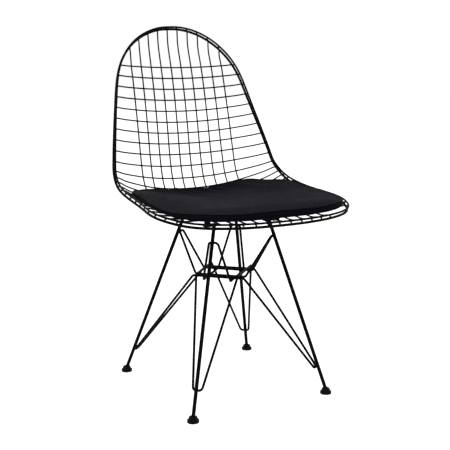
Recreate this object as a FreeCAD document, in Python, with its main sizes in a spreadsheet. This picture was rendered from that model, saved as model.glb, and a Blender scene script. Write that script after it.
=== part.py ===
import FreeCAD, Part
import Sketcher
import math
import os
from FreeCAD import Placement, Rotation, Vector

# A welded wire chair: a bent mesh shell inside a doubled rim, a loose seat pad,
# and a strutted rod base on four self-levelling glides. Millimetres, +Z up.
# The sitter faces -Y, and the origin is on the floor midway between the glides.

os.makedirs("parts", exist_ok=True)
doc = FreeCAD.newDocument("wire_mesh_chair")

SIZES = {
    # Wires of the shell
    "mesh_wire_dia": 3.4,
    "outer_rim_dia": 5.8,
    "inner_rim_dia": 4.6,
    "weld_clearance": 0.15,
    "pitch_top": 26.4,
    "pitch_waist": 28.0,
    "pitch_front": 26.6,
    "row_bow": 2.15,
    "rim_lean_degrees": 20.0,
    # Rod base
    "leg_dia": 8.2,
    "strut_dia": 5.6,
    "foot_half_width": 170.5,
    "foot_half_depth": 179.0,
    "front_top_x": 69.5,
    "front_top_y": 87.5,
    "rear_top_x": 67.5,
    "rear_top_y": 61.4,
    "leg_line_height": 400.0,
    "hub_height": 268.8,
    "hub_centre_y": -6.5,
    "upper_gap": 63.5,
    "upper_run": 118.0,
    "upper_joint_height": 361.0,
    "lower_gap": 97.0,
    "lower_run": 120.0,
    "lower_joint_height": 61.0,
    "strut_tip_width": 20.0,
    "strut_tip_radius": 8.0,
    "hub_bend_radius": 8.0,
    # Fixing of the shell to the base
    "carrier_dia": 8.0,
    "carrier_half_length": 104.0,
    "boss_dia": 14.0,
    "boss_height": 9.0,
    "lug_width": 20.0,
    "lug_thickness": 4.0,
    "lug_reach": 17.0,
    "screw_dia": 6.0,
    "screw_head_dia": 10.5,
    "screw_head_height": 3.3,
    "screw_grip": 7.0,
    "screw_socket": 4.0,
    "screw_hole_clearance": 0.25,
    "thread_clearance": 0.05,
    "washer_dia": 12.5,
    "washer_thickness": 1.2,
    # Glides
    "glide_dia": 26.0,
    "glide_rim_height": 5.0,
    "glide_collar_dia": 18.0,
    "glide_height": 12.0,
    "glide_step": 2.0,
    "ball_dia": 14.0,
    "ball_height": 9.0,
    "ball_clearance": 0.2,
    # Seat pad
    "pad_front_edge": 16.0,
    "pad_side_edge": 9.0,
    "pad_crown": 3.0,
    "pad_side_inset": 3.0,
    "pad_clearance": 1.6,
    "pad_front_lift": 1.0,
}

# The shell's stations from the top row to the last seat row: the row's number, its
# middle (y, z), and its end on the rim (x, y, z).
STATIONS = [
    (1, 234.9, 731.4, 153.4, 221.6, 737.9),
    (4, 215.1, 653.4, 176.4, 193.9, 666.2),
    (7, 199.5, 574.9, 193.1, 164.4, 594.3),
    (10, 184.1, 495.9, 208.5, 134.0, 522.2),
    (11, 174.8, 466.9, 212.6, 123.9, 501.4),
    (12, 160.5, 442.5, 215.5, 112.0, 489.0),
    (13, 138.5, 425.0, 217.5, 100.0, 480.0),
    (14, 112.0, 415.8, 219.0, 85.0, 472.0),
    (16, 55.3, 411.6, 220.0, 46.0, 460.4),
    (18, -2.0, 414.0, 221.5, -14.0, 451.6),
    (20, -59.0, 418.0, 227.5, -73.0, 446.0),
    (22, -117.0, 422.4, 230.5, -133.0, 440.2),
    (24, -174.0, 425.6, 210.0, -191.0, 433.5),
]
# The rim beyond the rows, right half: a place counted in rows, then x, y and z.
RIM_TOP = [
    (-6.0, 0.0, 261.3, 827.3),
    (-3.5, 66.8, 256.0, 815.5),
    (-1.2, 118.7, 242.1, 783.3),
]
RIM_FRONT = [
    (25.5, 186.0, -219.0, 430.0),
    (27.2, 146.0, -241.5, 427.8),
    (29.6, 78.0, -259.0, 426.3),
    (32.4, 0.0, -264.3, 426.0),
]
ROWS = 24
LONG_WIRE_COUNT = 10
# The pad's outline: y, and half the pad's width there.
PAD_OUTLINE = [
    (-246.5, 88.0),
    (-242.5, 116.0),
    (-232.0, 150.0),
    (-213.0, 180.0),
    (-187.0, 202.5),
    (-150.0, 216.5),
    (-105.0, 220.5),
    (-50.0, 217.0),
    (0.0, 212.0),
    (40.0, 208.0),
    (63.0, 198.0),
    (86.0, 180.0),
    (109.0, 156.0),
    (127.0, 128.0),
    (136.0, 100.0),
]

sheet = doc.addObject("Spreadsheet::Sheet", "sizes")
for line, (alias, value) in enumerate(SIZES.items(), 1):
    sheet.set(f"A{line}", alias)
    sheet.set(f"B{line}", str(value))
    sheet.setAlias(f"B{line}", alias)
doc.recompute()


def size(alias):
    """Reads one driving size from the sheet."""
    return float(getattr(sheet, alias))


# Curves of the shell

def spline(points, places, periodic=False):
    """A smooth curve through the points, at the given places along it."""
    curve = Part.BSplineCurve()
    curve.interpolate(Points=points, Parameters=places, PeriodicFlag=periodic)
    return curve


def mirrored(point):
    """The point on the chair's other side."""
    return Vector(-point.x, point.y, point.z)


def centre_curve():
    """The shell's middle line, from the top row to the last row."""
    return spline([Vector(0, s[1], s[2]) for s in STATIONS], [float(s[0]) for s in STATIONS])


def rim_curve():
    """The closed line midway between the two rim wires, counted in rows."""
    half = [(p[0], Vector(*p[1:])) for p in RIM_TOP]
    half += [(s[0], Vector(*s[3:])) for s in STATIONS]
    half += [(p[0], Vector(*p[1:])) for p in RIM_FRONT]
    front = half[-1][0]
    back = [(2 * front - place, mirrored(point)) for place, point in reversed(half[1:-1])]
    loop = half + back
    places = [float(place) for place, point in loop]
    places.append(2 * front - half[0][0])
    return spline([point for place, point in loop], places, True)


centre = centre_curve()
rim = rim_curve()
TOP_PLACE = RIM_TOP[0][0]
# A bend under this angle is drawn straight.
STRAIGHT_ANGLE = math.radians(0.02)
FRONT_PLACE = RIM_FRONT[-1][0]


def shell_point(row, x):
    """A point of the shell's middle surface on a row, at a distance from the chair's middle."""
    middle = centre.value(row)
    end = rim.value(row)
    share = (abs(x) / end.x) ** size("row_bow")
    return Vector(x, middle.y + (end.y - middle.y) * share, middle.z + (end.z - middle.z) * share)


def shell_normal(row, x):
    """The surface's direction towards the sitter."""
    low = max(1.0, row - 0.2)
    high = min(float(ROWS), row + 0.2)
    along = shell_point(high, x) - shell_point(low, x)
    across = shell_point(row, x + 1.0) - shell_point(row, x - 1.0)
    normal = along.cross(across)
    normal.normalize()
    if normal.z - normal.y < 0:
        normal = normal * -1
    return normal


def long_x(wire, row):
    """Distance of a long wire from the chair's middle, where the wires fan out at the waist."""
    waist = 12.0
    if row < waist:
        share = (waist - row) / (waist - TOP_PLACE)
        pitch = size("pitch_waist") + (size("pitch_top") - size("pitch_waist")) * share
    else:
        share = (row - waist) / (FRONT_PLACE - waist)
        pitch = size("pitch_waist") + (size("pitch_front") - size("pitch_waist")) * share
    return (wire - (LONG_WIRE_COUNT + 1) / 2) * pitch


def inward(place):
    """Direction from the rim into the mesh, along the shell."""
    edge = rim.value(place)
    row = min(max(place, 1.0), float(ROWS))
    direction = shell_point(row, edge.x * 0.95) - edge
    direction.normalize()
    return direction


def rim_normal(place):
    """Direction across the sandwich of the two rim wires, towards the sitter, where the lip rolls out."""
    tangent = rim.tangent(place)[0]
    into = inward(place)
    normal = tangent.cross(into)
    normal.normalize()
    if normal.z - normal.y < 0:
        normal = normal * -1
    into = into - tangent * into.dot(tangent)
    into.normalize()
    lean = math.radians(size("rim_lean_degrees"))
    return normal * math.cos(lean) - into * math.sin(lean)


# Shared builders

def path_feature(name, shape):
    """A hidden construction line that a wire is swept along."""
    feature = doc.addObject("Part::Feature", name)
    feature.Shape = shape
    return feature


def swept(label, edges, start, tangent, radius):
    """A round wire swept along a line, its radius bound to the sheet."""
    spine = path_feature(label + "_line", Part.Wire(edges))
    section = doc.addObject("Part::Circle", label + "_section")
    section.setExpression("Radius", radius)
    section.Placement = Placement(start, Rotation(Vector(0, 0, 1), tangent))
    wire = doc.addObject("Part::Sweep", label)
    wire.Sections = [section]
    wire.Spine = (spine, [f"Edge{k + 1}" for k in range(len(edges))])
    wire.Solid = True
    wire.Frenet = False
    wire.Label = label
    return wire


def arc_between(start, corner, end):
    """The arc that leaves start and reaches end along the two sides of a corner."""
    before = (start - corner).normalize()
    after = (end - corner).normalize()
    half_angle = before.getAngle(after) / 2
    if math.pi / 2 - half_angle < STRAIGHT_ANGLE:
        return Part.LineSegment(start, end).toShape()
    radius = (start - corner).Length * math.tan(half_angle)
    bisector = (before + after).normalize()
    middle = corner + bisector * (radius / math.sin(half_angle) - radius)
    return Part.Arc(start, middle, end).toShape()


def biarc(start, start_way, end, end_way):
    """Two tangent arcs from one point and direction to the next."""
    span = end - start
    both = start_way + end_way
    turn = 1 - start_way.dot(end_way)
    if turn < 1e-9:
        reach = span.dot(span) / (4 * span.dot(end_way))
    else:
        along = span.dot(both)
        reach = (math.sqrt(along * along + 2 * turn * span.dot(span)) - along) / (2 * turn)
    first = start + start_way * reach
    second = end - end_way * reach
    join = (first + second) * 0.5
    return [arc_between(start, first, join), arc_between(join, second, end)]


def bent_wire(label, points, radius, periodic=False):
    """A round wire of tangent arcs that runs through every point."""
    curve = Part.BSplineCurve()
    curve.interpolate(Points=points, PeriodicFlag=periodic)
    stops = list(points)
    if periodic:
        stops.append(points[0])
    places = [curve.parameter(point) for point in points]
    if periodic:
        places.append(places[0])
    ways = [curve.tangent(place)[0] for place in places]
    edges = []
    for k in range(len(stops) - 1):
        edges += biarc(stops[k], ways[k], stops[k + 1], ways[k + 1])
    return swept(label, edges, stops[0], ways[0], radius)


def rounded_loop(corners, radii):
    """A closed line of straight runs joined by tangent arcs at its corners."""
    count = len(corners)
    starts, ends, mids = [], [], []
    for k in range(count):
        corner = corners[k]
        before = (corners[k - 1] - corner).normalize()
        after = (corners[(k + 1) % count] - corner).normalize()
        half_angle = before.getAngle(after) / 2
        reach = radii[k] / math.tan(half_angle)
        bisector = (before + after).normalize()
        centre_point = corner + bisector * (radii[k] / math.sin(half_angle))
        starts.append(corner + before * reach)
        ends.append(corner + after * reach)
        mids.append(centre_point - bisector * radii[k])
    edges = []
    for k in range(count):
        edges.append(Part.Arc(starts[k], mids[k], ends[k]).toShape())
        edges.append(Part.LineSegment(ends[k], starts[(k + 1) % count]).toShape())
    # The rod's two ends meet in the middle of the last straight run, a hair apart.
    last = edges.pop()
    halfway = (last.Vertexes[0].Point + last.Vertexes[1].Point) * 0.5
    way = (starts[0] - halfway).normalize()
    first_end = halfway + way * (size("weld_clearance") / 2)
    second_end = halfway - way * (size("weld_clearance") / 2)
    edges.insert(0, Part.LineSegment(first_end, starts[0]).toShape())
    edges.append(Part.LineSegment(ends[-1], second_end).toShape())
    return edges, first_end, way


nodes = []

# Rim wires

RIM_GAP_HALF = size("mesh_wire_dia") / 2 + size("weld_clearance")
RIM_SAMPLES = 34


def rim_wire(label, dia_alias, side):
    """One closed rim wire, beside the mesh ends on the side given."""
    offset = side * (RIM_GAP_HALF + size(dia_alias) / 2)
    step = (FRONT_PLACE - TOP_PLACE) / RIM_SAMPLES
    half = []
    for k in range(RIM_SAMPLES + 1):
        place = TOP_PLACE + k * step
        point = rim.value(place) + rim_normal(place) * offset
        if k in (0, RIM_SAMPLES):
            point.x = 0
        half.append(point)
    loop = half + [mirrored(point) for point in reversed(half[1:-1])]
    return bent_wire(label, loop, f"sizes.{dia_alias} / 2", True)


nodes.append(rim_wire("outer_rim", "outer_rim_dia", -1))
nodes.append(rim_wire("inner_rim", "inner_rim_dia", 1))

# Mesh wires: the cross wires lie on the sitter's side of the long ones, one wire
# thickness apart, and both layers run out to the middle of the rim's sandwich.

LAYER = size("mesh_wire_dia") / 2 + size("weld_clearance") / 2
END_STRAIGHT = 5.0
END_BEND = 12.0
END_OVERRUN = 1.0
# Past this width an end gets one more point.
WIDE_GAP = 40.0


def rim_crossing(place, inner):
    """The two outer points of a wire that comes from an inner point, straight through the rim's sandwich."""
    edge = rim.value(place)
    normal = rim_normal(place)
    way = edge - inner
    way = way - normal * way.dot(normal)
    way.normalize()
    return [edge + way * END_OVERRUN, edge - way * END_STRAIGHT]


def cross_wire(row):
    """One wire from side to side, end to end across the rim."""
    place = float(row)
    bend_end = rim.value(place).x - END_STRAIGHT - END_BEND
    outer = abs(long_x(1, place))
    stations = [bend_end]
    if bend_end - outer > WIDE_GAP:
        stations.append((bend_end + outer) / 2)
    stations += [long_x(wire, place) for wire in range(LONG_WIRE_COUNT, LONG_WIRE_COUNT // 2, -1)]
    points = rim_crossing(place, shell_point(place, bend_end))
    for x in stations:
        points.append(shell_point(place, x) + shell_normal(place, x) * LAYER)
    points += [mirrored(point) for point in reversed(points)]
    return bent_wire(f"cross_wire_{row:02d}", points, "sizes.mesh_wire_dia / 2")


def rim_place(x, low, high):
    """Where along the rim the given distance from the chair's middle is reached."""
    rising = rim.value(high).x > rim.value(low).x
    for step in range(50):
        middle = (low + high) / 2
        if (rim.value(middle).x < x) == rising:
            low = middle
        else:
            high = middle
    return low


def long_end(wire, low, high, row):
    """The last three points of a long wire, through the rim's sandwich."""
    x = abs(long_x(wire, (low + high) / 2))
    near = shell_point(row, abs(long_x(wire, row)))
    place = rim_place(x, low, high)
    bend_end = rim.value(place) + inward(place) * (END_STRAIGHT + END_BEND)
    bend_end.x = x
    points = rim_crossing(place, near) + [bend_end]
    if wire <= LONG_WIRE_COUNT // 2:
        points = [mirrored(point) for point in points]
    return points


def long_wire(wire):
    """One wire from the top of the rim, down the back and out to the seat's front edge."""
    points = long_end(wire, TOP_PLACE, 1.0, 1.0)
    for row in range(1, ROWS + 1):
        x = long_x(wire, row)
        points.append(shell_point(float(row), x) - shell_normal(float(row), x) * LAYER)
    points += reversed(long_end(wire, float(ROWS), FRONT_PLACE, float(ROWS)))
    return bent_wire(f"long_wire_{wire:02d}", points, "sizes.mesh_wire_dia / 2")


for row in range(1, ROWS + 1):
    nodes.append(cross_wire(row))
for wire in range(1, LONG_WIRE_COUNT + 1):
    nodes.append(long_wire(wire))

# Rod base: legs, each with a ball on its lower end

def leg_line(side, depth):
    """A leg's ball centre and its direction, for one corner of the chair."""
    ball = Vector(side * size("foot_half_width"), depth * size("foot_half_depth"), size("ball_height"))
    if depth < 0:
        top = Vector(side * size("front_top_x"), -size("front_top_y"), size("leg_line_height"))
    else:
        top = Vector(side * size("rear_top_x"), size("rear_top_y"), size("leg_line_height"))
    return ball, (top - ball).normalize()


def leg_at(side, depth, height):
    """The point of a leg's axis at a height."""
    ball, way = leg_line(side, depth)
    return ball + way * ((height - ball.z) / way.z)


def floor_row(x, y, offset):
    """The place, in rows, where the shell offset towards the sitter reaches a depth."""
    low, high = 8.0, float(ROWS)
    for step in range(40):
        row = (low + high) / 2
        if (shell_point(row, x) + shell_normal(row, x) * offset).y > y:
            low = row
        else:
            high = row
    return low


def below_shell(x, y, offset):
    """A point at a distance under the shell's middle surface."""
    row = floor_row(x, y, -offset)
    return shell_point(row, x) - shell_normal(row, x) * offset


CARRIER_DROP = LAYER + size("mesh_wire_dia") / 2 + size("weld_clearance") + size("carrier_dia") / 2
CORNERS = {
    "rear_left": (-1, 1),
    "front_left": (-1, -1),
    "front_right": (1, -1),
    "rear_right": (1, 1),
}


def top_levels(depth):
    """Heights of a boss's top and bottom and of a lug's bottom, and the screw's distance."""
    y = depth * (size("rear_top_y") if depth > 0 else size("front_top_y"))
    x = (size("rear_top_x") if depth > 0 else size("front_top_x")) + size("lug_reach")
    inner = x - size("boss_dia") / 2
    low = below_shell(inner, y, CARRIER_DROP).z - size("carrier_dia") / 2
    boss_top = low - size("weld_clearance")
    boss_low = boss_top - size("boss_height")
    return x, y, boss_top, boss_low, boss_low - size("lug_thickness")


def leg(corner):
    """A straight rod from its ball to the underside of its lug."""
    side, depth = CORNERS[corner]
    ball, way = leg_line(side, depth)
    level = top_levels(depth)[4]
    rod = doc.addObject("Part::Cylinder", corner + "_rod")
    rod.setExpression("Radius", "sizes.leg_dia / 2")
    rod.Height = (level - ball.z) / way.z + size("leg_dia")
    rod.Placement = Placement(ball, Rotation(Vector(0, 0, 1), way))
    tip = doc.addObject("Part::Sphere", corner + "_ball")
    tip.setExpression("Radius", "sizes.ball_dia / 2")
    tip.Placement = Placement(ball, Rotation())
    joined = doc.addObject("Part::Fuse", corner + "_rod_and_ball")
    joined.Base = rod
    joined.Tool = tip
    above = doc.addObject("Part::Box", corner + "_above")
    above.setExpression("Length", "sizes.leg_dia * 6")
    above.setExpression("Width", "sizes.leg_dia * 6")
    above.setExpression("Height", "sizes.leg_dia * 6")
    top = leg_at(side, depth, level)
    half = size("leg_dia") * 3
    above.Placement = Placement(Vector(top.x - half, top.y - half, level), Rotation())
    trimmed = doc.addObject("Part::Cut", corner + "_leg")
    trimmed.Base = joined
    trimmed.Tool = above
    trimmed.Label = corner + "_leg"
    return trimmed


for corner in CORNERS:
    nodes.append(leg(corner))

# Struts: each is one closed loop of thinner rod, tied to two legs across the chair

def strut_loop(label, corner, kind, hub_height):
    """A loop from a left leg through the hub to the leg across, and back beside itself."""
    side, depth = CORNERS[corner]
    joint_height = size(kind + "_joint_height")
    gap = size(kind + "_gap")
    run = size(kind + "_run")
    hub = Vector(0, size("hub_centre_y"), hub_height)
    way = Vector(side, depth, 0).normalize()
    across = Vector(-way.y, way.x, 0)
    beside = (size("leg_dia") + size("strut_dia")) / 2 + size("weld_clearance")
    corners, radii = [], []
    for end in (1, -1):
        ball, leg_way = leg_line(side * end, depth * end)
        flat = Vector(leg_way.x, leg_way.y, 0).normalize()
        tip = leg_at(side * end, depth * end, joint_height) + flat * (beside / leg_way.z)
        tip_across = Vector(-flat.y, flat.x, 0)
        half_tip = size("strut_tip_width") / 2
        hub_end = hub + way * (end * run / 2)
        corners += [
            hub_end - across * (end * gap / 2),
            tip + tip_across * half_tip,
            tip - tip_across * half_tip,
            hub_end + across * (end * gap / 2),
        ]
        radii += [
            size("hub_bend_radius"),
            size("strut_tip_radius"),
            size("strut_tip_radius"),
            size("hub_bend_radius"),
        ]
    edges, start, tangent = rounded_loop(corners, radii)
    return swept(label, edges, start, tangent, "sizes.strut_dia / 2")


STACK = size("strut_dia") + size("weld_clearance") * 2
nodes.append(strut_loop("upper_strut_rear_left", "rear_left", "upper", size("hub_height")))
nodes.append(strut_loop("upper_strut_front_left", "front_left", "upper", size("hub_height") - STACK))
nodes.append(strut_loop("lower_strut_rear_left", "rear_left", "lower", size("hub_height")))
nodes.append(strut_loop("lower_strut_front_left", "front_left", "lower", size("hub_height") + STACK))

# Carriers under the mesh, with their bosses, and the lugs, washers and screws

def carrier(label, depth):
    """A rod bent to the shell and welded under its long wires."""
    y = top_levels(depth)[1]
    reach = size("carrier_half_length")
    steps = 8
    points = []
    for k in range(steps + 1):
        x = -reach + 2 * reach * k / steps
        points.append(below_shell(x, y, CARRIER_DROP))
    return bent_wire(label, points, "sizes.carrier_dia / 2")


nodes.append(carrier("front_carrier", -1))
nodes.append(carrier("rear_carrier", 1))


def plane_of(body, role):
    """One of a body's own origin planes."""
    return [feature for feature in body.Origin.OriginFeatures if feature.Role == role][0]


def lug(corner):
    """A flat plate with round ends, welded on a leg and drilled for its screw."""
    side, depth = CORNERS[corner]
    level = top_levels(depth)[4]
    body = doc.addObject("PartDesign::Body", corner + "_lug")
    sketch = body.newObject("Sketcher::SketchObject", corner + "_lug_outline")
    sketch.AttachmentSupport = (plane_of(body, "XY_Plane"), [""])
    sketch.MapMode = "FlatFace"
    radius = size("lug_width") / 2
    top = leg_at(side, depth, level)
    reach = top_levels(depth)[0] - abs(top.x)
    round_start = Part.ArcOfCircle(Part.Circle(Vector(0, 0, 0), Vector(0, 0, 1), radius),
                                   math.pi / 2, 3 * math.pi / 2)
    round_end = Part.ArcOfCircle(Part.Circle(Vector(reach, 0, 0), Vector(0, 0, 1), radius),
                                 -math.pi / 2, math.pi / 2)
    sketch.addGeometry(round_start)
    sketch.addGeometry(round_end)
    sketch.addGeometry(Part.LineSegment(Vector(0, -radius, 0), Vector(reach, -radius, 0)))
    sketch.addGeometry(Part.LineSegment(Vector(reach, radius, 0), Vector(0, radius, 0)))
    hole = Part.Circle(Vector(reach, 0, 0), Vector(0, 0, 1), size("screw_dia") / 2)
    sketch.addGeometry(hole)
    left_arc, right_arc, low_line, high_line, bore = range(5)
    start, end, middle = 1, 2, 3
    sketch.addConstraint(Sketcher.Constraint("Tangent", left_arc, end, low_line, start))
    sketch.addConstraint(Sketcher.Constraint("Tangent", low_line, end, right_arc, start))
    sketch.addConstraint(Sketcher.Constraint("Tangent", right_arc, end, high_line, start))
    sketch.addConstraint(Sketcher.Constraint("Tangent", high_line, end, left_arc, start))
    sketch.addConstraint(Sketcher.Constraint("Coincident", left_arc, middle, -1, 1))
    sketch.addConstraint(Sketcher.Constraint("Horizontal", low_line))
    sketch.addConstraint(Sketcher.Constraint("Coincident", bore, middle, right_arc, middle))
    round_end_size = sketch.addConstraint(Sketcher.Constraint("Radius", left_arc, radius))
    sketch.setExpression(f"Constraints[{round_end_size}]", "sizes.lug_width / 2")
    sketch.addConstraint(Sketcher.Constraint("DistanceX", -1, 1, right_arc, middle, reach))
    bore_size = sketch.addConstraint(Sketcher.Constraint("Radius", bore, size("screw_dia") / 2))
    sketch.setExpression(f"Constraints[{bore_size}]", "sizes.screw_dia / 2 + sizes.screw_hole_clearance")
    plate = body.newObject("PartDesign::Pad", corner + "_lug_plate")
    plate.Profile = sketch
    plate.setExpression("Length", "sizes.lug_thickness")
    turn = Rotation(Vector(0, 0, 1), 0 if side > 0 else 180)
    body.Placement = Placement(Vector(top.x, top_levels(depth)[1], level), turn)
    body.Label = corner + "_lug"
    return body


for corner in CORNERS:
    nodes.append(lug(corner))


def cylinder(name, radius, height, place):
    """An upright cylinder whose sizes are expressions."""
    solid = doc.addObject("Part::Cylinder", name)
    solid.setExpression("Radius", radius)
    solid.setExpression("Height", height)
    solid.Placement = Placement(place, Rotation())
    return solid


def combined(kind, name, base, tool):
    """One solid made of two, fused or cut."""
    solid = doc.addObject(kind, name)
    solid.Base = base
    solid.Tool = tool
    return solid


def group(label, members):
    """Identical small pieces that share one node."""
    together = doc.addObject("Part::Compound", label)
    together.Links = members
    together.Label = label
    return together


def screw_axis(corner):
    """Where a corner's screw stands, and its lug's underside."""
    side, depth = CORNERS[corner]
    x, y, boss_top, boss_low, lug_low = top_levels(depth)
    return Vector(side * x, y, lug_low)


def boss(corner):
    """A threaded round boss welded under a carrier."""
    place = screw_axis(corner) + Vector(0, 0, size("lug_thickness"))
    round_bar = cylinder(corner + "_boss_bar", "sizes.boss_dia / 2", "sizes.boss_height", place)
    thread = cylinder(corner + "_boss_thread", "sizes.screw_dia / 2 + sizes.thread_clearance",
                      "sizes.boss_height", place)
    return combined("Part::Cut", corner + "_boss", round_bar, thread)


def washer(corner):
    """A flat ring between a screw's head and the lug."""
    place = screw_axis(corner) - Vector(0, 0, size("washer_thickness"))
    disc = cylinder(corner + "_washer_disc", "sizes.washer_dia / 2", "sizes.washer_thickness", place)
    bore = cylinder(corner + "_washer_bore", "sizes.screw_dia / 2 + sizes.screw_hole_clearance",
                    "sizes.washer_thickness", place)
    return combined("Part::Cut", corner + "_washer", disc, bore)


def screw(corner):
    """A socket button screw, driven up through the washer and the lug into the boss."""
    under_head = screw_axis(corner) - Vector(0, 0, size("washer_thickness"))
    shank = cylinder(corner + "_shank", "sizes.screw_dia / 2",
                     "sizes.washer_thickness + sizes.lug_thickness + sizes.screw_grip", under_head)
    head_low = under_head - Vector(0, 0, size("screw_head_height"))
    head = cylinder(corner + "_head", "sizes.screw_head_dia / 2", "sizes.screw_head_height", head_low)
    body = combined("Part::Fuse", corner + "_screw_body", shank, head)
    socket = doc.addObject("Part::Prism", corner + "_socket")
    socket.Polygon = 6
    socket.setExpression("Circumradius", "sizes.screw_socket / sqrt(3)")
    socket.setExpression("Height", "sizes.screw_head_height * 0.6")
    socket.Placement = Placement(head_low, Rotation())
    return combined("Part::Cut", corner + "_screw", body, socket)


nodes.append(group("carrier_bosses", [boss(corner) for corner in CORNERS]))
nodes.append(group("lug_washers", [washer(corner) for corner in CORNERS]))
nodes.append(group("lug_screws", [screw(corner) for corner in CORNERS]))

# Glides: a flat disc with a collar, hollowed to the ball that it tilts on


def glide(corner):
    """A disc that snaps over a leg's ball and lies flat on the floor."""
    side, depth = CORNERS[corner]
    foot = leg_line(side, depth)[0]
    foot.z = 0
    disc = cylinder(corner + "_disc", "sizes.glide_dia / 2", "sizes.glide_rim_height", foot)
    collar = doc.addObject("Part::Cone", corner + "_collar")
    collar.setExpression("Radius1", "sizes.glide_dia / 2 - sizes.glide_step")
    collar.setExpression("Radius2", "sizes.glide_collar_dia / 2")
    collar.setExpression("Height", "sizes.glide_height - sizes.glide_rim_height")
    collar.Placement = Placement(foot + Vector(0, 0, size("glide_rim_height")), Rotation())
    body = combined("Part::Fuse", corner + "_glide_body", disc, collar)
    hollow = doc.addObject("Part::Sphere", corner + "_socket_hollow")
    hollow.setExpression("Radius", "sizes.ball_dia / 2 + sizes.ball_clearance")
    hollow.Placement = Placement(foot + Vector(0, 0, size("ball_height")), Rotation())
    cup = combined("Part::Cut", corner + "_glide", body, hollow)
    cup.Label = corner + "_glide"
    return cup


for corner in CORNERS:
    nodes.append(glide(corner))

# Seat pad: a thin cushion that follows the mesh, crowned on top and rounded at its sides

PAD_LIFT = LAYER + size("mesh_wire_dia") / 2 + size("pad_clearance")
PAD_REAR = PAD_OUTLINE[-1][0]
PAD_FRONT = PAD_OUTLINE[0][0]
# The sides thicken to the front edge over this stretch.
FRONT_TAPER_START = -165.0
FRONT_TAPER = 60.0


def front_floor(x, y):
    """Height of the shell ahead of its last row, where only the long wires run on to the rim."""
    last = shell_point(float(ROWS), x)
    place = rim_place(abs(x), float(ROWS), FRONT_PLACE)
    edge = rim.value(place)
    share = (last.y - y) / (last.y - edge.y)
    return last.z + (edge.z - last.z) * share


def pad_level(x, y, lift):
    """Height of the surface that lies a lift above the shell, square to it."""
    if shell_point(float(ROWS), x).y > y:
        return front_floor(x, y) + lift + size("pad_front_lift")
    row = floor_row(x, y, lift)
    return (shell_point(row, x) + shell_normal(row, x) * lift).z


def pad_thickness(share, y):
    """Thickness at a share of the way from the pad's middle to its side."""
    middle = (PAD_REAR + PAD_FRONT) / 2
    along = max(0.0, 1 - ((y - middle) / (PAD_REAR - middle)) ** 8)
    centre_thickness = size("pad_front_edge") + size("pad_crown") * along
    ahead = min(1.0, max(0.0, (FRONT_TAPER_START - y) / FRONT_TAPER))
    side = size("pad_side_edge") + (size("pad_front_edge") - size("pad_side_edge")) * ahead
    return side + (centre_thickness - side) * (1 - abs(share) ** 3)


def pad_section(index, y, half_width):
    """One closed outline across the pad: underside, two round sides and the crowned top."""
    flat = half_width - size("pad_side_inset")
    steps = 12
    low, high = [], []
    for k in range(steps + 1):
        share = 2 * k / steps - 1
        x = flat * share
        low.append(Vector(x, y, pad_level(x, y, PAD_LIFT)))
        high.append(Vector(x, y, pad_level(x, y, PAD_LIFT + pad_thickness(share, y))))
    right = (low[-1] + high[-1]) / 2 + Vector(size("pad_side_inset"), 0, 0)
    left = (low[0] + high[0]) / 2 - Vector(size("pad_side_inset"), 0, 0)
    bottom = Part.BSplineCurve()
    bottom.interpolate(Points=low)
    top = Part.BSplineCurve()
    top.interpolate(Points=list(reversed(high)))
    edges = [
        bottom.toShape(),
        Part.Arc(low[-1], right, high[-1]).toShape(),
        top.toShape(),
        Part.Arc(high[0], left, low[0]).toShape(),
    ]
    return path_feature(f"pad_section_{index:02d}", Part.Wire(edges))


def seat_pad():
    """The cushion, lofted through its sections from front to rear."""
    loft = doc.addObject("Part::Loft", "seat_pad")
    loft.Sections = [pad_section(k, y, half) for k, (y, half) in enumerate(PAD_OUTLINE)]
    loft.Solid = True
    loft.Ruled = False
    loft.Label = "seat_pad"
    return loft


nodes.append(seat_pad())

doc.recompute()

# Every object must have computed, and every piece must be a sound shape, before any is written.

for thing in doc.Objects:
    if "Invalid" in thing.State or "Error" in thing.State:
        raise RuntimeError(f"{thing.Name} did not compute: {thing.State}")
labels = [node.Label for node in nodes]
if len(set(labels)) != len(labels):
    raise RuntimeError("two pieces share a name")
for node in nodes:
    if node.Shape.isNull() or not node.Shape.isValid() or node.Shape.Volume <= 0:
        raise RuntimeError(f"{node.Label} is not a sound solid")
for node in nodes:
    node.Shape.exportStep(os.path.join("parts", node.Label + ".step"))
print(len(nodes), "pieces written")
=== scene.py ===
import math

import bmesh
import bpy
import numpy as np
from mathutils import Matrix, Vector
from mathutils.bvhtree import BVHTree
from mathutils.kdtree import KDTree


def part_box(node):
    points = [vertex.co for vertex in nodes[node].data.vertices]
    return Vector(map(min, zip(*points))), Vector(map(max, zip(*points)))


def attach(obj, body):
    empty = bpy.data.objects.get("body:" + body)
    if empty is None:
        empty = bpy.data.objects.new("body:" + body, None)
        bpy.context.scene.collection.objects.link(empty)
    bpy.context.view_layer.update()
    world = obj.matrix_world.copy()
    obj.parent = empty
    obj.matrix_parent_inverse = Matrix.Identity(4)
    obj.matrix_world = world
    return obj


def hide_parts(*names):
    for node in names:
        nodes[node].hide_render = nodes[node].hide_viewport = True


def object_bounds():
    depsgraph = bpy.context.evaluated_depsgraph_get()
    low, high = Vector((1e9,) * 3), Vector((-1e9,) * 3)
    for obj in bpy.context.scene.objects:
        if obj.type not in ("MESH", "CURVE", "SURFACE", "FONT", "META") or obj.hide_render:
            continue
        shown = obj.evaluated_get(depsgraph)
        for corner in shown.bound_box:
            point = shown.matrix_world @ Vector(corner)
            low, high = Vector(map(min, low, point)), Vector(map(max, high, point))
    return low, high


# A welded wire chair: powder-coated mesh, rims and strutted base as the CAD has them,
# with weld beads where the wires meet and a sewn leather-look pad on the seat. Metres.

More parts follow.
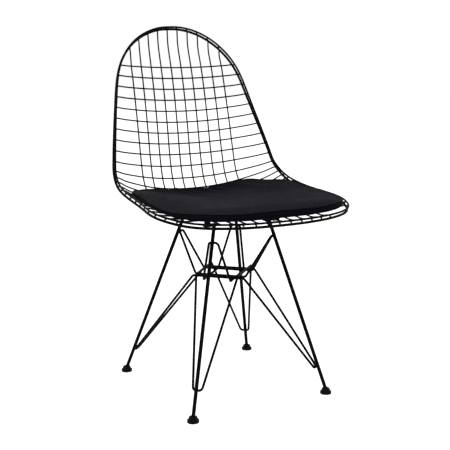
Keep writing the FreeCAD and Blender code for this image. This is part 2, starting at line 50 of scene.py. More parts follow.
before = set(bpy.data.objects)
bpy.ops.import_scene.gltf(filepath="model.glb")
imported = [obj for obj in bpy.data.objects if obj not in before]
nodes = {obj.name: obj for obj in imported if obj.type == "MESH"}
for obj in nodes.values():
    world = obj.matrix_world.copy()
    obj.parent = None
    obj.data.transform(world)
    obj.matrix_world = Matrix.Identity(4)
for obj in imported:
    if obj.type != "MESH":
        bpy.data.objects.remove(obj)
cad_low, cad_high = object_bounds()

# Camera, in the photograph's frame of 450 x 450

FRAME_SIDE = 450
SENSOR_WIDTH = 36.0
FOCAL_LENGTH_PX = 891.606
CAMERA_PLACE = Vector((-0.9723, -1.7618, 0.7580))
CAMERA_TURN = math.radians(29.037)
CAMERA_DIP = math.radians(10.686)


def make_camera():
    """The camera that stood to the chair's front right, looking slightly down."""
    lens = bpy.data.cameras.new("photo_camera")
    lens.sensor_width = SENSOR_WIDTH
    lens.lens = SENSOR_WIDTH * FOCAL_LENGTH_PX / FRAME_SIDE
    lens.clip_start = 0.05
    lens.clip_end = 30.0
    forward = Vector((math.sin(CAMERA_TURN) * math.cos(CAMERA_DIP),
                      math.cos(CAMERA_TURN) * math.cos(CAMERA_DIP),
                      -math.sin(CAMERA_DIP)))
    right = forward.cross(Vector((0, 0, 1))).normalized()
    above = right.cross(forward)
    camera = bpy.data.objects.new("photo_camera", lens)
    camera.matrix_world = Matrix((
        (right.x, above.x, -forward.x, CAMERA_PLACE.x),
        (right.y, above.y, -forward.y, CAMERA_PLACE.y),
        (right.z, above.z, -forward.z, CAMERA_PLACE.z),
        (0, 0, 0, 1),
    ))
    bpy.context.scene.collection.objects.link(camera)
    bpy.context.scene.camera = camera


make_camera()

# Node trees: small helpers that add a node with its inputs set or linked


def add_node(tree, kind, settings=None, **inputs):
    """One node; an input is a value, or another node's output socket."""
    node = tree.nodes.new(kind)
    for name, value in (settings or {}).items():
        setattr(node, name, value)
    for name, value in inputs.items():
        socket = node.inputs[name.replace("_", " ")]
        if isinstance(value, bpy.types.NodeSocket):
            tree.links.new(value, socket)
        else:
            socket.default_value = value
    return node


def new_group(name, kind, takes, gives):
    """An empty node group with named sockets; each is (name, socket type, default)."""
    tree = bpy.data.node_groups.new(name, kind)
    for label, socket_type, default in takes:
        socket = tree.interface.new_socket(label, in_out="INPUT", socket_type=socket_type)
        if default is not None:
            socket.default_value = default
    for label, socket_type in gives:
        tree.interface.new_socket(label, in_out="OUTPUT", socket_type=socket_type)
    return tree, tree.nodes.new("NodeGroupInput"), tree.nodes.new("NodeGroupOutput")


# Shared surface effects


def coat_texture():
    """Powder coat: a fine orange peel, and a slight drift of sheen along the wires."""
    tree, taken, given = new_group(
        "powder_coat_texture", "ShaderNodeTree",
        [("Peel Scale", "NodeSocketFloat", 900.0), ("Sheen", "NodeSocketFloat", 0.4),
         ("Tone", "NodeSocketColor", (0.02, 0.02, 0.02, 1)),
         ("Worn Tone", "NodeSocketColor", (0.04, 0.04, 0.04, 1))],
        [("Color", "NodeSocketColor"), ("Roughness", "NodeSocketFloat"), ("Height", "NodeSocketFloat")])
    place = add_node(tree, "ShaderNodeTexCoord").outputs["Object"]
    peel = add_node(tree, "ShaderNodeTexNoise", Vector=place, Scale=taken.outputs["Peel Scale"],
                    Detail=2.0, Roughness=0.5)
    drift = add_node(tree, "ShaderNodeTexNoise", Vector=place, Scale=14.0, Detail=3.0, Roughness=0.6)
    specks = add_node(tree, "ShaderNodeTexNoise", Vector=place, Scale=260.0, Detail=4.0, Roughness=0.7)
    worn = add_node(tree, "ShaderNodeMapRange", Value=specks.outputs["Fac"],
                    From_Min=0.58, From_Max=0.78)
    colour = add_node(tree, "ShaderNodeMix", {"data_type": "RGBA"})
    tree.links.new(worn.outputs["Result"], colour.inputs[0])
    tree.links.new(taken.outputs["Tone"], colour.inputs[6])
    tree.links.new(taken.outputs["Worn Tone"], colour.inputs[7])
    sway = add_node(tree, "ShaderNodeMapRange", Value=drift.outputs["Fac"],
                    From_Min=0.3, From_Max=0.7, To_Min=-0.05, To_Max=0.06)
    sheen = add_node(tree, "ShaderNodeMath", {"operation": "ADD"})
    tree.links.new(taken.outputs["Sheen"], sheen.inputs[0])
    tree.links.new(sway.outputs["Result"], sheen.inputs[1])
    tree.links.new(colour.outputs[2], given.inputs["Color"])
    tree.links.new(sheen.outputs[0], given.inputs["Roughness"])
    tree.links.new(peel.outputs["Fac"], given.inputs["Height"])
    return tree


def hide_texture():
    """Leather-look grain: pebbles with fine creases between them, painted shade darkening those
    creases, and faint clouding.
    """
    tree, taken, given = new_group(
        "hide_texture", "ShaderNodeTree",
        [("Pebble Scale", "NodeSocketFloat", 700.0), ("Sheen", "NodeSocketFloat", 0.5),
         ("Tone", "NodeSocketColor", (0.03, 0.03, 0.03, 1)),
         ("Crease Tone", "NodeSocketColor", (0.01, 0.01, 0.01, 1))],
        [("Color", "NodeSocketColor"), ("Roughness", "NodeSocketFloat"), ("Height", "NodeSocketFloat")])
    place = add_node(tree, "ShaderNodeTexCoord").outputs["Object"]
    wander = add_node(tree, "ShaderNodeTexNoise", Vector=place, Scale=160.0, Detail=2.0)
    shifted = add_node(tree, "ShaderNodeMix", {"data_type": "VECTOR"})
    shifted.inputs[0].default_value = 0.006
    tree.links.new(place, shifted.inputs[4])
    tree.links.new(wander.outputs["Color"], shifted.inputs[5])
    pebbles = add_node(tree, "ShaderNodeTexVoronoi", {"feature": "DISTANCE_TO_EDGE"},
                       Vector=shifted.outputs[1], Scale=taken.outputs["Pebble Scale"])
    dome = add_node(tree, "ShaderNodeMapRange", Value=pebbles.outputs["Distance"],
                    From_Min=0.0, From_Max=0.22)
    clouds = add_node(tree, "ShaderNodeTexNoise", Vector=place, Scale=9.0, Detail=4.0, Roughness=0.6)
    # Painted shade: the creases between the pebbles take a darker colour than the pebbles' tops.
    colour = add_node(tree, "ShaderNodeMix", {"data_type": "RGBA"})
    tree.links.new(dome.outputs["Result"], colour.inputs[0])
    tree.links.new(taken.outputs["Crease Tone"], colour.inputs[6])
    tree.links.new(taken.outputs["Tone"], colour.inputs[7])
    sway = add_node(tree, "ShaderNodeMapRange", Value=clouds.outputs["Fac"],
                    From_Min=0.3, From_Max=0.7, To_Min=-0.06, To_Max=0.07)
    sheen = add_node(tree, "ShaderNodeMath", {"operation": "ADD"})
    tree.links.new(taken.outputs["Sheen"], sheen.inputs[0])
    tree.links.new(sway.outputs["Result"], sheen.inputs[1])
    tree.links.new(colour.outputs[2], given.inputs["Color"])
    tree.links.new(sheen.outputs[0], given.inputs["Roughness"])
    tree.links.new(dome.outputs["Result"], given.inputs["Height"])
    return tree


COAT_TEXTURE = coat_texture()
HIDE_TEXTURE = hide_texture()


def surface(name, texture, bump_depth, principled, **values):
    """A material: one texture group feeding a Principled shader and its bump."""
    material = bpy.data.materials.new(name)
    material.use_nodes = True
    tree = material.node_tree
    tree.nodes.clear()
    skin = add_node(tree, "ShaderNodeGroup", {"node_tree": texture}, **values)
    bump = add_node(tree, "ShaderNodeBump", Height=skin.outputs["Height"], Distance=bump_depth,
                    Strength=1.0)
    shader = add_node(tree, "ShaderNodeBsdfPrincipled", Base_Color=skin.outputs["Color"],
                      Roughness=skin.outputs["Roughness"], Normal=bump.outputs["Normal"])
    for socket, value in principled.items():
        shader.inputs[socket].default_value = value
    add_node(tree, "ShaderNodeOutputMaterial", Surface=shader.outputs["BSDF"])
    return material


BLACK_COAT = surface("black_powder_coat", COAT_TEXTURE, bump_depth=0.00004,
                     principled={"Specular IOR Level": 0.02},
                     Peel_Scale=900.0, Sheen=0.42,
                     Tone=(0.0025, 0.0025, 0.0031, 1), Worn_Tone=(0.006, 0.006, 0.007, 1))
WELD_COAT = surface("coated_weld", COAT_TEXTURE, bump_depth=0.0001,
                    principled={"Specular IOR Level": 0.02},
                    Peel_Scale=520.0, Sheen=0.46,
                    Tone=(0.0035, 0.0035, 0.0042, 1), Worn_Tone=(0.009, 0.009, 0.010, 1))
GLIDE_NYLON = surface("black_nylon", COAT_TEXTURE, bump_depth=0.00005,
                      principled={"Specular IOR Level": 0.05},
                      Peel_Scale=1500.0, Sheen=0.5,
                      Tone=(0.004, 0.004, 0.0045, 1), Worn_Tone=(0.012, 0.012, 0.013, 1))
ZINC = surface("zinc_plate", COAT_TEXTURE, bump_depth=0.00002,
               principled={"Metallic": 1.0},
               Peel_Scale=2400.0, Sheen=0.32,
               Tone=(0.50, 0.50, 0.52, 1), Worn_Tone=(0.62, 0.60, 0.54, 1))
# Each hide's darker second colour is painted shade in the creases of its grain.
PAD_HIDE = surface("black_leather_look", HIDE_TEXTURE, bump_depth=0.00012,
                   principled={"Specular IOR Level": 0.01},
                   Pebble_Scale=720.0, Sheen=0.62,
                   Tone=(0.0070, 0.0060, 0.0125, 1), Crease_Tone=(0.003, 0.003, 0.004, 1))
SEAM_HIDE = surface("black_seam_edge", HIDE_TEXTURE, bump_depth=0.00008,
                    principled={"Specular IOR Level": 0.01},
                    Pebble_Scale=1100.0, Sheen=0.6,
                    Tone=(0.0045, 0.0042, 0.006, 1), Crease_Tone=(0.002, 0.002, 0.003, 1))
THREAD = surface("black_thread", HIDE_TEXTURE, bump_depth=0.00005,
                 principled={"Specular IOR Level": 0.3},
                 Pebble_Scale=2600.0, Sheen=0.62,
                 Tone=(0.020, 0.020, 0.024, 1), Crease_Tone=(0.008, 0.008, 0.010, 1))


def cad_material(name):
    """The finish of a CAD node, by its name."""
    if name.endswith("_glide"):
        return GLIDE_NYLON
    if name in ("lug_screws", "lug_washers"):
        return ZINC
    return BLACK_COAT


for name, obj in nodes.items():
    obj.data.materials.clear()
    obj.data.materials.append(cad_material(name))

# Places where rods and wires touch, read from the CAD nodes

SAMPLE_STEP = 0.0015
CELL = 0.006
CELL_SPAN = 4096
# Points this close to the nearest one count as one contact's own.
CONTACT_TIE = 0.0001
TINY = 1e-9


def cell_keys(points):
    """The key of the small cube that holds each point."""
    cubes = np.floor(points / CELL).astype(int) + CELL_SPAN // 2
    return (cubes[:, 0] * CELL_SPAN + cubes[:, 1]) * CELL_SPAN + cubes[:, 2]


class Skin:
    """A CAD node's surface, for distances, and points along its edges."""

    def __init__(self, name):
        mesh = nodes[name].data
        corners = np.array([v.co for v in mesh.vertices])
        self.tree = BVHTree.FromPolygons([tuple(c) for c in corners],
                                         [tuple(f.vertices) for f in mesh.polygons])
        ends = corners[np.array([e.vertices for e in mesh.edges])]
        lengths = np.linalg.norm(ends[:, 1] - ends[:, 0], axis=1)
        runs = []
        for (start, end), length in zip(ends, lengths):
            count = max(1, math.ceil(length / SAMPLE_STEP))
            runs.append(start + (end - start) * np.linspace(0, 1, count + 1)[:, None])
        self.points = np.unique(np.concatenate(runs).round(6), axis=0)
        self.keys = cell_keys(self.points)
        steps = (-1, 0, 1)
        around = [(i * CELL_SPAN + j) * CELL_SPAN + k for i in steps for j in steps for k in steps]
        own = np.unique(self.keys)
        self.near_keys = np.unique(np.concatenate([own + shift for shift in around]))


def touches(one, other, gap, spread):
    """Contacts of two skins: the middle point and the direction across, one per cluster."""
    near = []
    for point in one.points[np.isin(one.keys, other.near_keys)]:
        spot, _, _, distance = other.tree.find_nearest(Vector(point), gap)
        if spot is not None:
            near.append((distance, point, np.array(spot)))
    near.sort(key=lambda item: item[0])
    found = []
    while near:
        best = near[0]
        group = [item for item in near if np.linalg.norm(item[1] - best[1]) < spread]
        near = [item for item in near if np.linalg.norm(item[1] - best[1]) >= spread]
        close = [item for item in group if item[0] < best[0] + CONTACT_TIE]
        middle = np.mean([(item[1] + item[2]) / 2 for item in close], axis=0)
        across = best[2] - best[1]
        found.append((middle, across / max(np.linalg.norm(across), TINY)))
    return found


CROSS_WIRES = sorted(n for n in nodes if n.startswith("cross_wire"))
LONG_WIRES = sorted(n for n in nodes if n.startswith("long_wire"))
RIMS = ["inner_rim", "outer_rim"]
LEGS = sorted(n for n in nodes if n.endswith("_leg"))
STRUTS = sorted(n for n in nodes if "_strut_" in n)
CARRIERS = sorted(n for n in nodes if n.endswith("_carrier"))
LUGS = sorted(n for n in nodes if n.endswith("_lug"))
skins = {n: Skin(n) for n in CROSS_WIRES + LONG_WIRES + RIMS + LEGS + STRUTS + CARRIERS}

WIRE_GAP = 0.0009
WIRE_SPREAD = 0.012
ROD_GAP = 0.0009
ROD_SPREAD = 0.02


def wire_welds():
    """Every crossing of the mesh, and each wire's end between the two rims."""
    beads = []
    for cross in CROSS_WIRES:
        for long_wire in LONG_WIRES:
            beads += touches(skins[cross], skins[long_wire], WIRE_GAP, WIRE_SPREAD)
    for wire in CROSS_WIRES + LONG_WIRES:
        for rim in RIMS:
            beads += touches(skins[wire], skins[rim], WIRE_GAP, WIRE_SPREAD)
    return beads


def rod_welds():
    """Struts on legs and on each other, and carriers on the long wires."""
    beads = []
    for strut in STRUTS:
        for leg in LEGS:
            beads += touches(skins[strut], skins[leg], ROD_GAP, ROD_SPREAD)
    for index, strut in enumerate(STRUTS):
        for other in STRUTS[index + 1:]:
            beads += touches(skins[strut], skins[other], ROD_GAP, ROD_SPREAD)
    for carrier in CARRIERS:
        for long_wire in LONG_WIRES:
            beads += touches(skins[carrier], skins[long_wire], ROD_GAP, ROD_SPREAD)
    return beads


# Weld beads: flattened drops set across each contact


def bead_tree():
    """Geometry nodes: a drop on every point, turned to the contact, then realised."""
    tree, taken, given = new_group(
        "weld_bead_tree", "GeometryNodeTree",
        [("Geometry", "NodeSocketGeometry", None), ("Width", "NodeSocketFloat", 0.0016),
         ("Thickness", "NodeSocketFloat", 0.001), ("Material", "NodeSocketMaterial", None)],
        [("Geometry", "NodeSocketGeometry")])
    drop = add_node(tree, "GeometryNodeMeshIcoSphere", Radius=1.0, Subdivisions=2)
    across = add_node(tree, "GeometryNodeInputNamedAttribute", {"data_type": "FLOAT_VECTOR"},
                      Name="across")
    turn = add_node(tree, "FunctionNodeAlignRotationToVector", {"axis": "Z"},
                    Vector=across.outputs["Attribute"])
    size = add_node(tree, "ShaderNodeCombineXYZ", X=taken.outputs["Width"], Y=taken.outputs["Width"],
                    Z=taken.outputs["Thickness"])
    placed = add_node(tree, "GeometryNodeInstanceOnPoints", Points=taken.outputs["Geometry"],
                      Instance=drop.outputs["Mesh"], Rotation=turn.outputs["Rotation"],
                      Scale=size.outputs["Vector"])
    real = add_node(tree, "GeometryNodeRealizeInstances", Geometry=placed.outputs["Instances"])
    smooth = add_node(tree, "GeometryNodeSetShadeSmooth", Geometry=real.outputs["Geometry"])
    coated = add_node(tree, "GeometryNodeSetMaterial", Geometry=smooth.outputs["Geometry"],
                      Material=taken.outputs["Material"])
    tree.links.new(coated.outputs["Geometry"], given.inputs["Geometry"])
    return tree


def link(name, data):
    """A new object in the scene, at the origin."""
    obj = bpy.data.objects.new(name, data)
    bpy.context.scene.collection.objects.link(obj)
    return obj


def grow(obj, tree, **inputs):
    """Runs a geometry tree on an object and keeps the plain mesh that comes out."""
    modifier = obj.modifiers.new("tree", "NODES")
    modifier.node_group = tree
    for socket in tree.interface.items_tree:
        if socket.item_type == "SOCKET" and socket.in_out == "INPUT" and socket.name in inputs:
            modifier[socket.identifier] = inputs[socket.name]
    return bake(obj)


def bake(obj):
    """Replaces an object by its evaluated mesh, with no modifier left."""
    bpy.context.view_layer.update()
    mesh = bpy.data.meshes.new_from_object(obj.evaluated_get(bpy.context.evaluated_depsgraph_get()))
    name = obj.name
    bpy.data.objects.remove(obj)
    mesh.name = name
    return link(name, mesh)


def finish_piece(piece):
    """Every piece rides on the chair."""
    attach(piece, "chair")


BEAD_TREE = bead_tree()


def weld_piece(name, beads, width, thickness):
    """One piece that holds all the beads of a kind."""
    mesh = bpy.data.meshes.new(name)
    mesh.from_pydata([tuple(middle) for middle, _ in beads], [], [])
    across = mesh.attributes.new("across", "FLOAT_VECTOR", "POINT")
    across.data.foreach_set("vector", np.array([way for _, way in beads], np.float32).ravel())
    piece = grow(link(name, mesh), BEAD_TREE, Width=width, Thickness=thickness, Material=WELD_COAT)
    finish_piece(piece)


weld_piece("mesh_weld_beads", wire_welds(), width=0.0017, thickness=0.0011)
weld_piece("rod_weld_beads", rod_welds(), width=0.0034, thickness=0.0022)

LEG_TOP_BAND = 0.002


def collar_beads():
    """A bead round each leg's top, under its lug."""
    beads = []
    for lug in LUGS:
        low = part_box(lug)[0]
        leg = skins[lug.replace("_lug", "_leg")].points
        top = leg[leg[:, 2] > leg[:, 2].max() - LEG_TOP_BAND]
        centre = top.mean(0)
        beads.append((np.array([centre[0], centre[1], low.z]), np.array([0.0, 0.0, 1.0])))
    return beads


weld_piece("lug_weld_beads", collar_beads(), width=0.0056, thickness=0.0016)

# Seat cushion

MERGE_DISTANCE = 0.00002
VOXEL = 0.0042
RELAX_FACTOR = 0.4
RELAX_ROUNDS = 2
# The cloth that the cover is blown up as, and how far it may rise. Near its seam, over the
# hold's width, it rises less, down to the least share; underneath, it sinks by a small share.
CLOTH_FRAMES = 20
CLOTH_QUALITY = 6
COVER_MASS = 0.3
PRESSURE = 4.0
MOST_RISE = 0.0035
SEAM_HOLD = 0.05
LEAST_SHARE = 0.1
SINK_SHARE = 0.1
# The seam, its welt and its stitches.
OUTLINE_POINTS = 120
SEAM_POINTS = 260
SEAM_INSET = 0.0035
GROOVE_WIDTH = 0.0030
GROOVE_DEPTH = 0.0009
WELT_RADIUS = 0.0013
STITCH_INSET = SEAM_INSET + 0.0035
STITCH_LINE_POINTS = 400
STITCH_PITCH = 0.0045
STITCH_LENGTH = 0.0029
STITCH_RADIUS = 0.00036
THREAD_LIFT = 0.0001


def merged_copy(node):
    """The CAD solid's surface, with its loose triangles joined."""
    mesh = nodes[node].data.copy()
    shape = bmesh.new()
    shape.from_mesh(mesh)
    bmesh.ops.remove_doubles(shape, verts=shape.verts, dist=MERGE_DISTANCE)
    bmesh.ops.recalc_face_normals(shape, faces=shape.faces)
    shape.to_mesh(mesh)
    shape.free()
    mesh.materials.clear()
    return mesh


def coordinates(mesh):
    """The mesh's points as rows of x, y, z."""
    flat = np.zeros(len(mesh.vertices) * 3, np.float32)
    mesh.vertices.foreach_get("co", flat)
    return flat.reshape(-1, 3).astype(float)


def normals(mesh):
    """The mesh's point normals as rows."""
    flat = np.zeros(len(mesh.vertices) * 3, np.float32)
    mesh.vertices.foreach_get("normal", flat)
    return flat.reshape(-1, 3).astype(float)


def put(mesh, places):
    """Moves the mesh's points."""
    mesh.vertices.foreach_set("co", places.astype(np.float32).ravel())
    mesh.update()


def inflate(cushion, seam):
    """Blows the cover up as foam fills it: its seam stays, and its underside lies on the wires."""
    rest = coordinates(cushion.data)
    cloth = cushion.modifiers.new("cloth", "CLOTH")
    cloth.settings.quality = CLOTH_QUALITY
    cloth.settings.mass = COVER_MASS
    cloth.settings.use_pressure = True
    cloth.settings.uniform_pressure_force = PRESSURE
    cloth.settings.effector_weights.gravity = 0.0
    cloth.collision_settings.use_collision = False
    cloth.point_cache.frame_start = 1
    cloth.point_cache.frame_end = CLOTH_FRAMES
    scene = bpy.context.scene
    for step in range(1, CLOTH_FRAMES + 1):
        scene.frame_set(step)
    blown = cushion.evaluated_get(bpy.context.evaluated_depsgraph_get())
    moved = coordinates(blown.data) - rest
    cushion.modifiers.remove(cloth)
    scene.frame_set(1)
    length = np.linalg.norm(moved, axis=1)
    most = MOST_RISE * np.clip(distances(rest, seam) / SEAM_HOLD, LEAST_SHARE, 1)
    moved *= np.minimum(1, most / np.maximum(length, TINY))[:, None]
    moved[:, 2] = np.where(moved[:, 2] < 0, moved[:, 2] * SINK_SHARE, moved[:, 2])
    put(cushion.data, rest + moved)


def distances(places, line):
    """How far each place is from a line of points."""
    tree = KDTree(len(line))
    for index, point in enumerate(line):
        tree.insert(Vector(point), index)
    tree.balance()
    return np.array([tree.find(Vector(place))[2] for place in places])


def outline_of(mesh, inset):
    """The pad's plan outline, drawn in by a small inset, as evenly spaced x, y points."""
    places = coordinates(mesh)
    centre = (places.min(0) + places.max(0))[:2] / 2
    away = places[:, :2] - centre
    angle = np.arctan2(away[:, 1], away[:, 0])
    reach = np.linalg.norm(away, axis=1)
    index = ((angle + math.pi) / (2 * math.pi) * OUTLINE_POINTS).astype(int) % OUTLINE_POINTS
    far = np.array([reach[index == k].max() for k in range(OUTLINE_POINTS)])
    softening = np.array([0.25, 0.5, 0.25])
    wrapped = np.concatenate([far[-1:], far, far[:1]])
    far = np.convolve(wrapped, softening, "valid")
    turn = (np.arange(OUTLINE_POINTS) + 0.5) / OUTLINE_POINTS * 2 * math.pi - math.pi
    line = centre + np.stack([np.cos(turn), np.sin(turn)], 1) * far[:, None]
    ahead = np.roll(line, -1, 0) - np.roll(line, 1, 0)
    ahead /= np.linalg.norm(ahead, axis=1)[:, None]
    return line + np.stack([-ahead[:, 1], ahead[:, 0]], 1) * inset


def dropped(line, mesh):
    """The outline laid on the pad's top."""
    faces = BVHTree.FromPolygons([tuple(c) for c in coordinates(mesh)],
                                 [tuple(f.vertices) for f in mesh.polygons])
    above = float(cad_high[2])
    laid = []
    for x, y in line:
        spot = faces.ray_cast(Vector((x, y, above)), Vector((0, 0, -1)))[0]
        if spot is not None:
            laid.append(np.array(spot))
    return np.array(laid)


def groove(mesh, seam):
    """Presses the cover in along its seam."""
    places, ways = coordinates(mesh), normals(mesh)
    pressed = GROOVE_DEPTH * np.exp(-(distances(places, seam) / GROOVE_WIDTH) ** 2)
    put(mesh, places - ways * pressed[:, None])


def fine(line, count):
    """A closed line resampled evenly."""
    loop = np.concatenate([line, line[:1]])
    lengths = np.concatenate([[0], np.cumsum(np.linalg.norm(np.diff(loop, axis=0), axis=1))])
    at = np.linspace(0, lengths[-1], count, endpoint=False)
    return np.stack([np.interp(at, lengths, loop[:, k]) for k in range(3)], 1)


def laid_line(mesh, inset, count):
    """An even closed line on the pad's top, an inset in from its outline."""
    return fine(dropped(outline_of(mesh, inset), mesh), count)


REAR_EDGE = 0.136
CREASE_REACH = 0.085
CREASE_FAN = 0.08
# Beside each raised pull lies a hollow, at this share of its depth and this many widths off.
HOLLOW_SHARE = 0.7
HOLLOW_SHIFT = 1.6
CREASES = [
    # x at the rear edge, lean towards the front, half width, depth
    (-0.085, 0.35, 0.006, 0.0021),
    (-0.052, 0.55, 0.007, 0.0028),
    (-0.020, 0.45, 0.006, 0.0019),
    (0.012, 0.60, 0.008, 0.0029),
    (0.046, 0.50, 0.006, 0.0024),
    (0.083, 0.65, 0.008, 0.0020),
]
SWELLS = [
    # x, y, reach, rise
    (0.128, 0.108, 0.040, 0.0055),
    (-0.120, 0.112, 0.034, -0.0022),
]


def crease(mesh):
    """Soft pulls in the cover that run forward from the rear edge, and its fuller corner there."""
    places, ways = coordinates(mesh), normals(mesh)
    back = np.clip(REAR_EDGE - places[:, 1], 0, None)
    fade = np.exp(-(back / CREASE_REACH) ** 2) * np.clip(ways[:, 2], 0, 1)
    rise = np.zeros(len(places))
    for x, lean, width, depth in CREASES:
        offset = (places[:, 0] - x - lean * back) / (width + CREASE_FAN * back)
        hollow = HOLLOW_SHARE * np.exp(-(offset - HOLLOW_SHIFT) ** 2)
        rise += depth * (np.exp(-offset ** 2) - hollow)
    moved = places + ways * (rise * fade)[:, None]
    for x, y, reach, swell in SWELLS:
        away = (places[:, 0] - x) ** 2 + (places[:, 1] - y) ** 2
        moved[:, 2] += swell * np.exp(-away / reach ** 2) * np.clip(ways[:, 2], 0, 1)
    put(mesh, moved)


def make_cushion():
    """The pad's cover: remeshed, blown up and creased."""
    cushion = link("seat_cushion", merged_copy("seat_pad"))
    remesh = cushion.modifiers.new("voxels", "REMESH")
    remesh.mode = "VOXEL"
    remesh.voxel_size = VOXEL
    remesh.use_smooth_shade = True
    cushion = bake(cushion)
    relax = cushion.modifiers.new("relax", "SMOOTH")
    relax.factor = RELAX_FACTOR
    relax.iterations = RELAX_ROUNDS
    cushion = bake(cushion)
    inflate(cushion, laid_line(cushion.data, SEAM_INSET, SEAM_POINTS))
    divide = cushion.modifiers.new("divide", "SUBSURF")
    divide.levels = 1
    divide.render_levels = 1
    cushion = bake(cushion)
    crease(cushion.data)
    return cushion


def stitch_tree():
    """Geometry nodes: thread stitches along a closed line."""
    tree, taken, given = new_group(
        "stitch_tree", "GeometryNodeTree",
        [("Geometry", "NodeSocketGeometry", None), ("Pitch", "NodeSocketFloat", STITCH_PITCH),
         ("Length", "NodeSocketFloat", STITCH_LENGTH), ("Radius", "NodeSocketFloat", STITCH_RADIUS),
         ("Material", "NodeSocketMaterial", None)],
        [("Geometry", "NodeSocketGeometry")])
    path = add_node(tree, "GeometryNodeMeshToCurve", Mesh=taken.outputs["Geometry"])
    spots = add_node(tree, "GeometryNodeCurveToPoints", {"mode": "LENGTH"}, Curve=path.outputs["Curve"],
                     Length=taken.outputs["Pitch"])
    drop = add_node(tree, "GeometryNodeMeshIcoSphere", Radius=1.0, Subdivisions=1)
    size = add_node(tree, "ShaderNodeCombineXYZ", X=taken.outputs["Radius"], Y=taken.outputs["Radius"],
                    Z=taken.outputs["Length"])
    placed = add_node(tree, "GeometryNodeInstanceOnPoints", Points=spots.outputs["Points"],
                      Instance=drop.outputs["Mesh"], Rotation=spots.outputs["Rotation"],
                      Scale=size.outputs["Vector"])
    real = add_node(tree, "GeometryNodeRealizeInstances", Geometry=placed.outputs["Instances"])
    smooth = add_node(tree, "GeometryNodeSetShadeSmooth", Geometry=real.outputs["Geometry"])
    dyed = add_node(tree, "GeometryNodeSetMaterial", Geometry=smooth.outputs["Geometry"],
                    Material=taken.outputs["Material"])
    tree.links.new(dyed.outputs["Geometry"], given.inputs["Geometry"])
    return tree


def closed_line(name, points):
    """A mesh of one closed run of edges."""
    mesh = bpy.data.meshes.new(name)
    count = len(points)
    mesh.from_pydata([tuple(p) for p in points], [(k, (k + 1) % count) for k in range(count)], [])
    return link(name, mesh)


def welt(name, points):
    """A thin sewn cord of cover along a seam."""
    curve = bpy.data.curves.new(name, "CURVE")
    curve.dimensions = "3D"
    curve.bevel_depth = WELT_RADIUS
    curve.bevel_resolution = 3
    spline = curve.splines.new("NURBS")
    spline.points.add(len(points) - 1)
    spline.points.foreach_set("co", np.concatenate([points, np.ones((len(points), 1))], 1).ravel())
    spline.use_cyclic_u = True
    spline.order_u = 4
    spline.resolution_u = 3
    piece = bake(link(name, curve))
    for face in piece.data.polygons:
        face.use_smooth = True
    piece.data.materials.append(SEAM_HIDE)
    return piece


cushion = make_cushion()
cushion.data.materials.clear()
cushion.data.materials.append(PAD_HIDE)
upper_seam = laid_line(cushion.data, SEAM_INSET, SEAM_POINTS)
groove(cushion.data, upper_seam)
for face in cushion.data.polygons:
    face.use_smooth = True
upper_welt = welt("upper_seam_welt", upper_seam)
STITCH_TREE = stitch_tree()
stitch_line = laid_line(cushion.data, STITCH_INSET, STITCH_LINE_POINTS)
stitch_line[:, 2] += THREAD_LIFT
stitches = grow(closed_line("seam_stitches", stitch_line), STITCH_TREE,
                Pitch=STITCH_PITCH, Length=STITCH_LENGTH / 2, Radius=STITCH_RADIUS, Material=THREAD)

finish_piece(cushion)
finish_piece(upper_welt)
finish_piece(stitches)
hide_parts("seat_pad")

# Floor, backdrop and lights

FLOOR_HALF_WIDTH = 12.0
FLOOR_GREY = (0.62, 0.62, 0.62, 1)
FLOOR_GLOW = 0.9
WHITE = (1, 1, 1, 1)
BACKDROP = 1.0
SOFT_LIGHT = 0.55
LAMPS = [
    # name, place, aimed at, side, watts
    ("key_lamp", (-1.6, -1.8, 2.4), (0, 0, 0.45), 1.4, 34),
    ("fill_lamp", (2.2, -1.4, 1.6), (0, 0, 0.45), 1.8, 12),
    ("back_lamp", (0.4, 2.2, 2.2), (0, 0, 0.5), 1.6, 18),
]


def direct_view(tree, ray):
    """1 for what the camera sees, also in a reflection or through glass."""
    seen = ray.outputs["Is Camera Ray"]
    for kind in ("Is Glossy Ray", "Is Transmission Ray"):
        either = add_node(tree, "ShaderNodeMath", {"operation": "MAXIMUM"})
        tree.links.new(seen, either.inputs[0])
        tree.links.new(ray.outputs[kind], either.inputs[1])
        seen = either.outputs[0]
    return seen


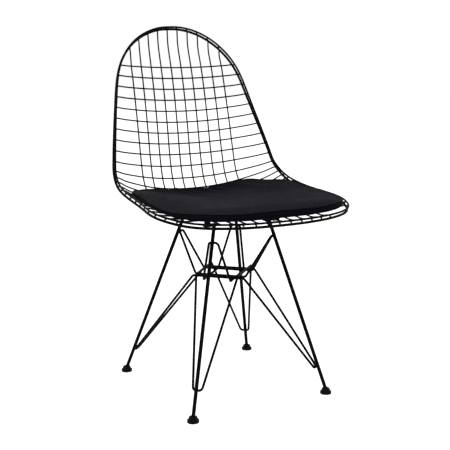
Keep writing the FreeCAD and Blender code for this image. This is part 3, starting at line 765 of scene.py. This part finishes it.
def stage_material():
    """A pale floor that reads as white to the camera, and keeps the chair's shadow."""
    material = bpy.data.materials.new("pale_floor")
    material.use_nodes = True
    tree = material.node_tree
    tree.nodes.clear()
    matte = add_node(tree, "ShaderNodeBsdfDiffuse", Color=FLOOR_GREY)
    ray = add_node(tree, "ShaderNodeLightPath")
    glow = add_node(tree, "ShaderNodeEmission", Color=WHITE, Strength=FLOOR_GLOW)
    nothing = add_node(tree, "ShaderNodeEmission", Strength=0.0)
    seen = add_node(tree, "ShaderNodeMixShader", Fac=direct_view(tree, ray))
    tree.links.new(nothing.outputs[0], seen.inputs[1])
    tree.links.new(glow.outputs[0], seen.inputs[2])
    both = add_node(tree, "ShaderNodeAddShader")
    tree.links.new(matte.outputs[0], both.inputs[0])
    tree.links.new(seen.outputs[0], both.inputs[1])
    add_node(tree, "ShaderNodeOutputMaterial", Surface=both.outputs[0])
    return material


def make_floor():
    """A wide flat floor."""
    shape = bmesh.new()
    bmesh.ops.create_grid(shape, x_segments=1, y_segments=1, size=FLOOR_HALF_WIDTH)
    mesh = bpy.data.meshes.new("studio_floor")
    shape.to_mesh(mesh)
    shape.free()
    mesh.materials.append(stage_material())
    link("studio_floor", mesh)


def make_world():
    """White to the camera and to reflections, and a softer grey as light."""
    world = bpy.data.worlds.new("studio")
    bpy.context.scene.world = world
    world.use_nodes = True
    tree = world.node_tree
    tree.nodes.clear()
    ray = add_node(tree, "ShaderNodeLightPath")
    soft = add_node(tree, "ShaderNodeBackground", Color=WHITE, Strength=SOFT_LIGHT)
    white = add_node(tree, "ShaderNodeBackground", Color=WHITE, Strength=BACKDROP)
    both = add_node(tree, "ShaderNodeMixShader", Fac=direct_view(tree, ray))
    tree.links.new(soft.outputs[0], both.inputs[1])
    tree.links.new(white.outputs[0], both.inputs[2])
    add_node(tree, "ShaderNodeOutputWorld", Surface=both.outputs[0])


def lamp(name, place, aim, size, power):
    """A soft square lamp turned towards a point."""
    light = bpy.data.lights.new(name, "AREA")
    light.size = size
    light.energy = power
    obj = bpy.data.objects.new(name, light)
    obj.location = place
    obj.rotation_euler = (Vector(aim) - Vector(place)).to_track_quat("-Z", "Y").to_euler()
    bpy.context.scene.collection.objects.link(obj)


make_floor()
make_world()
for lamp_values in LAMPS:
    lamp(*lamp_values)

bpy.context.scene.view_settings.view_transform = "Standard"
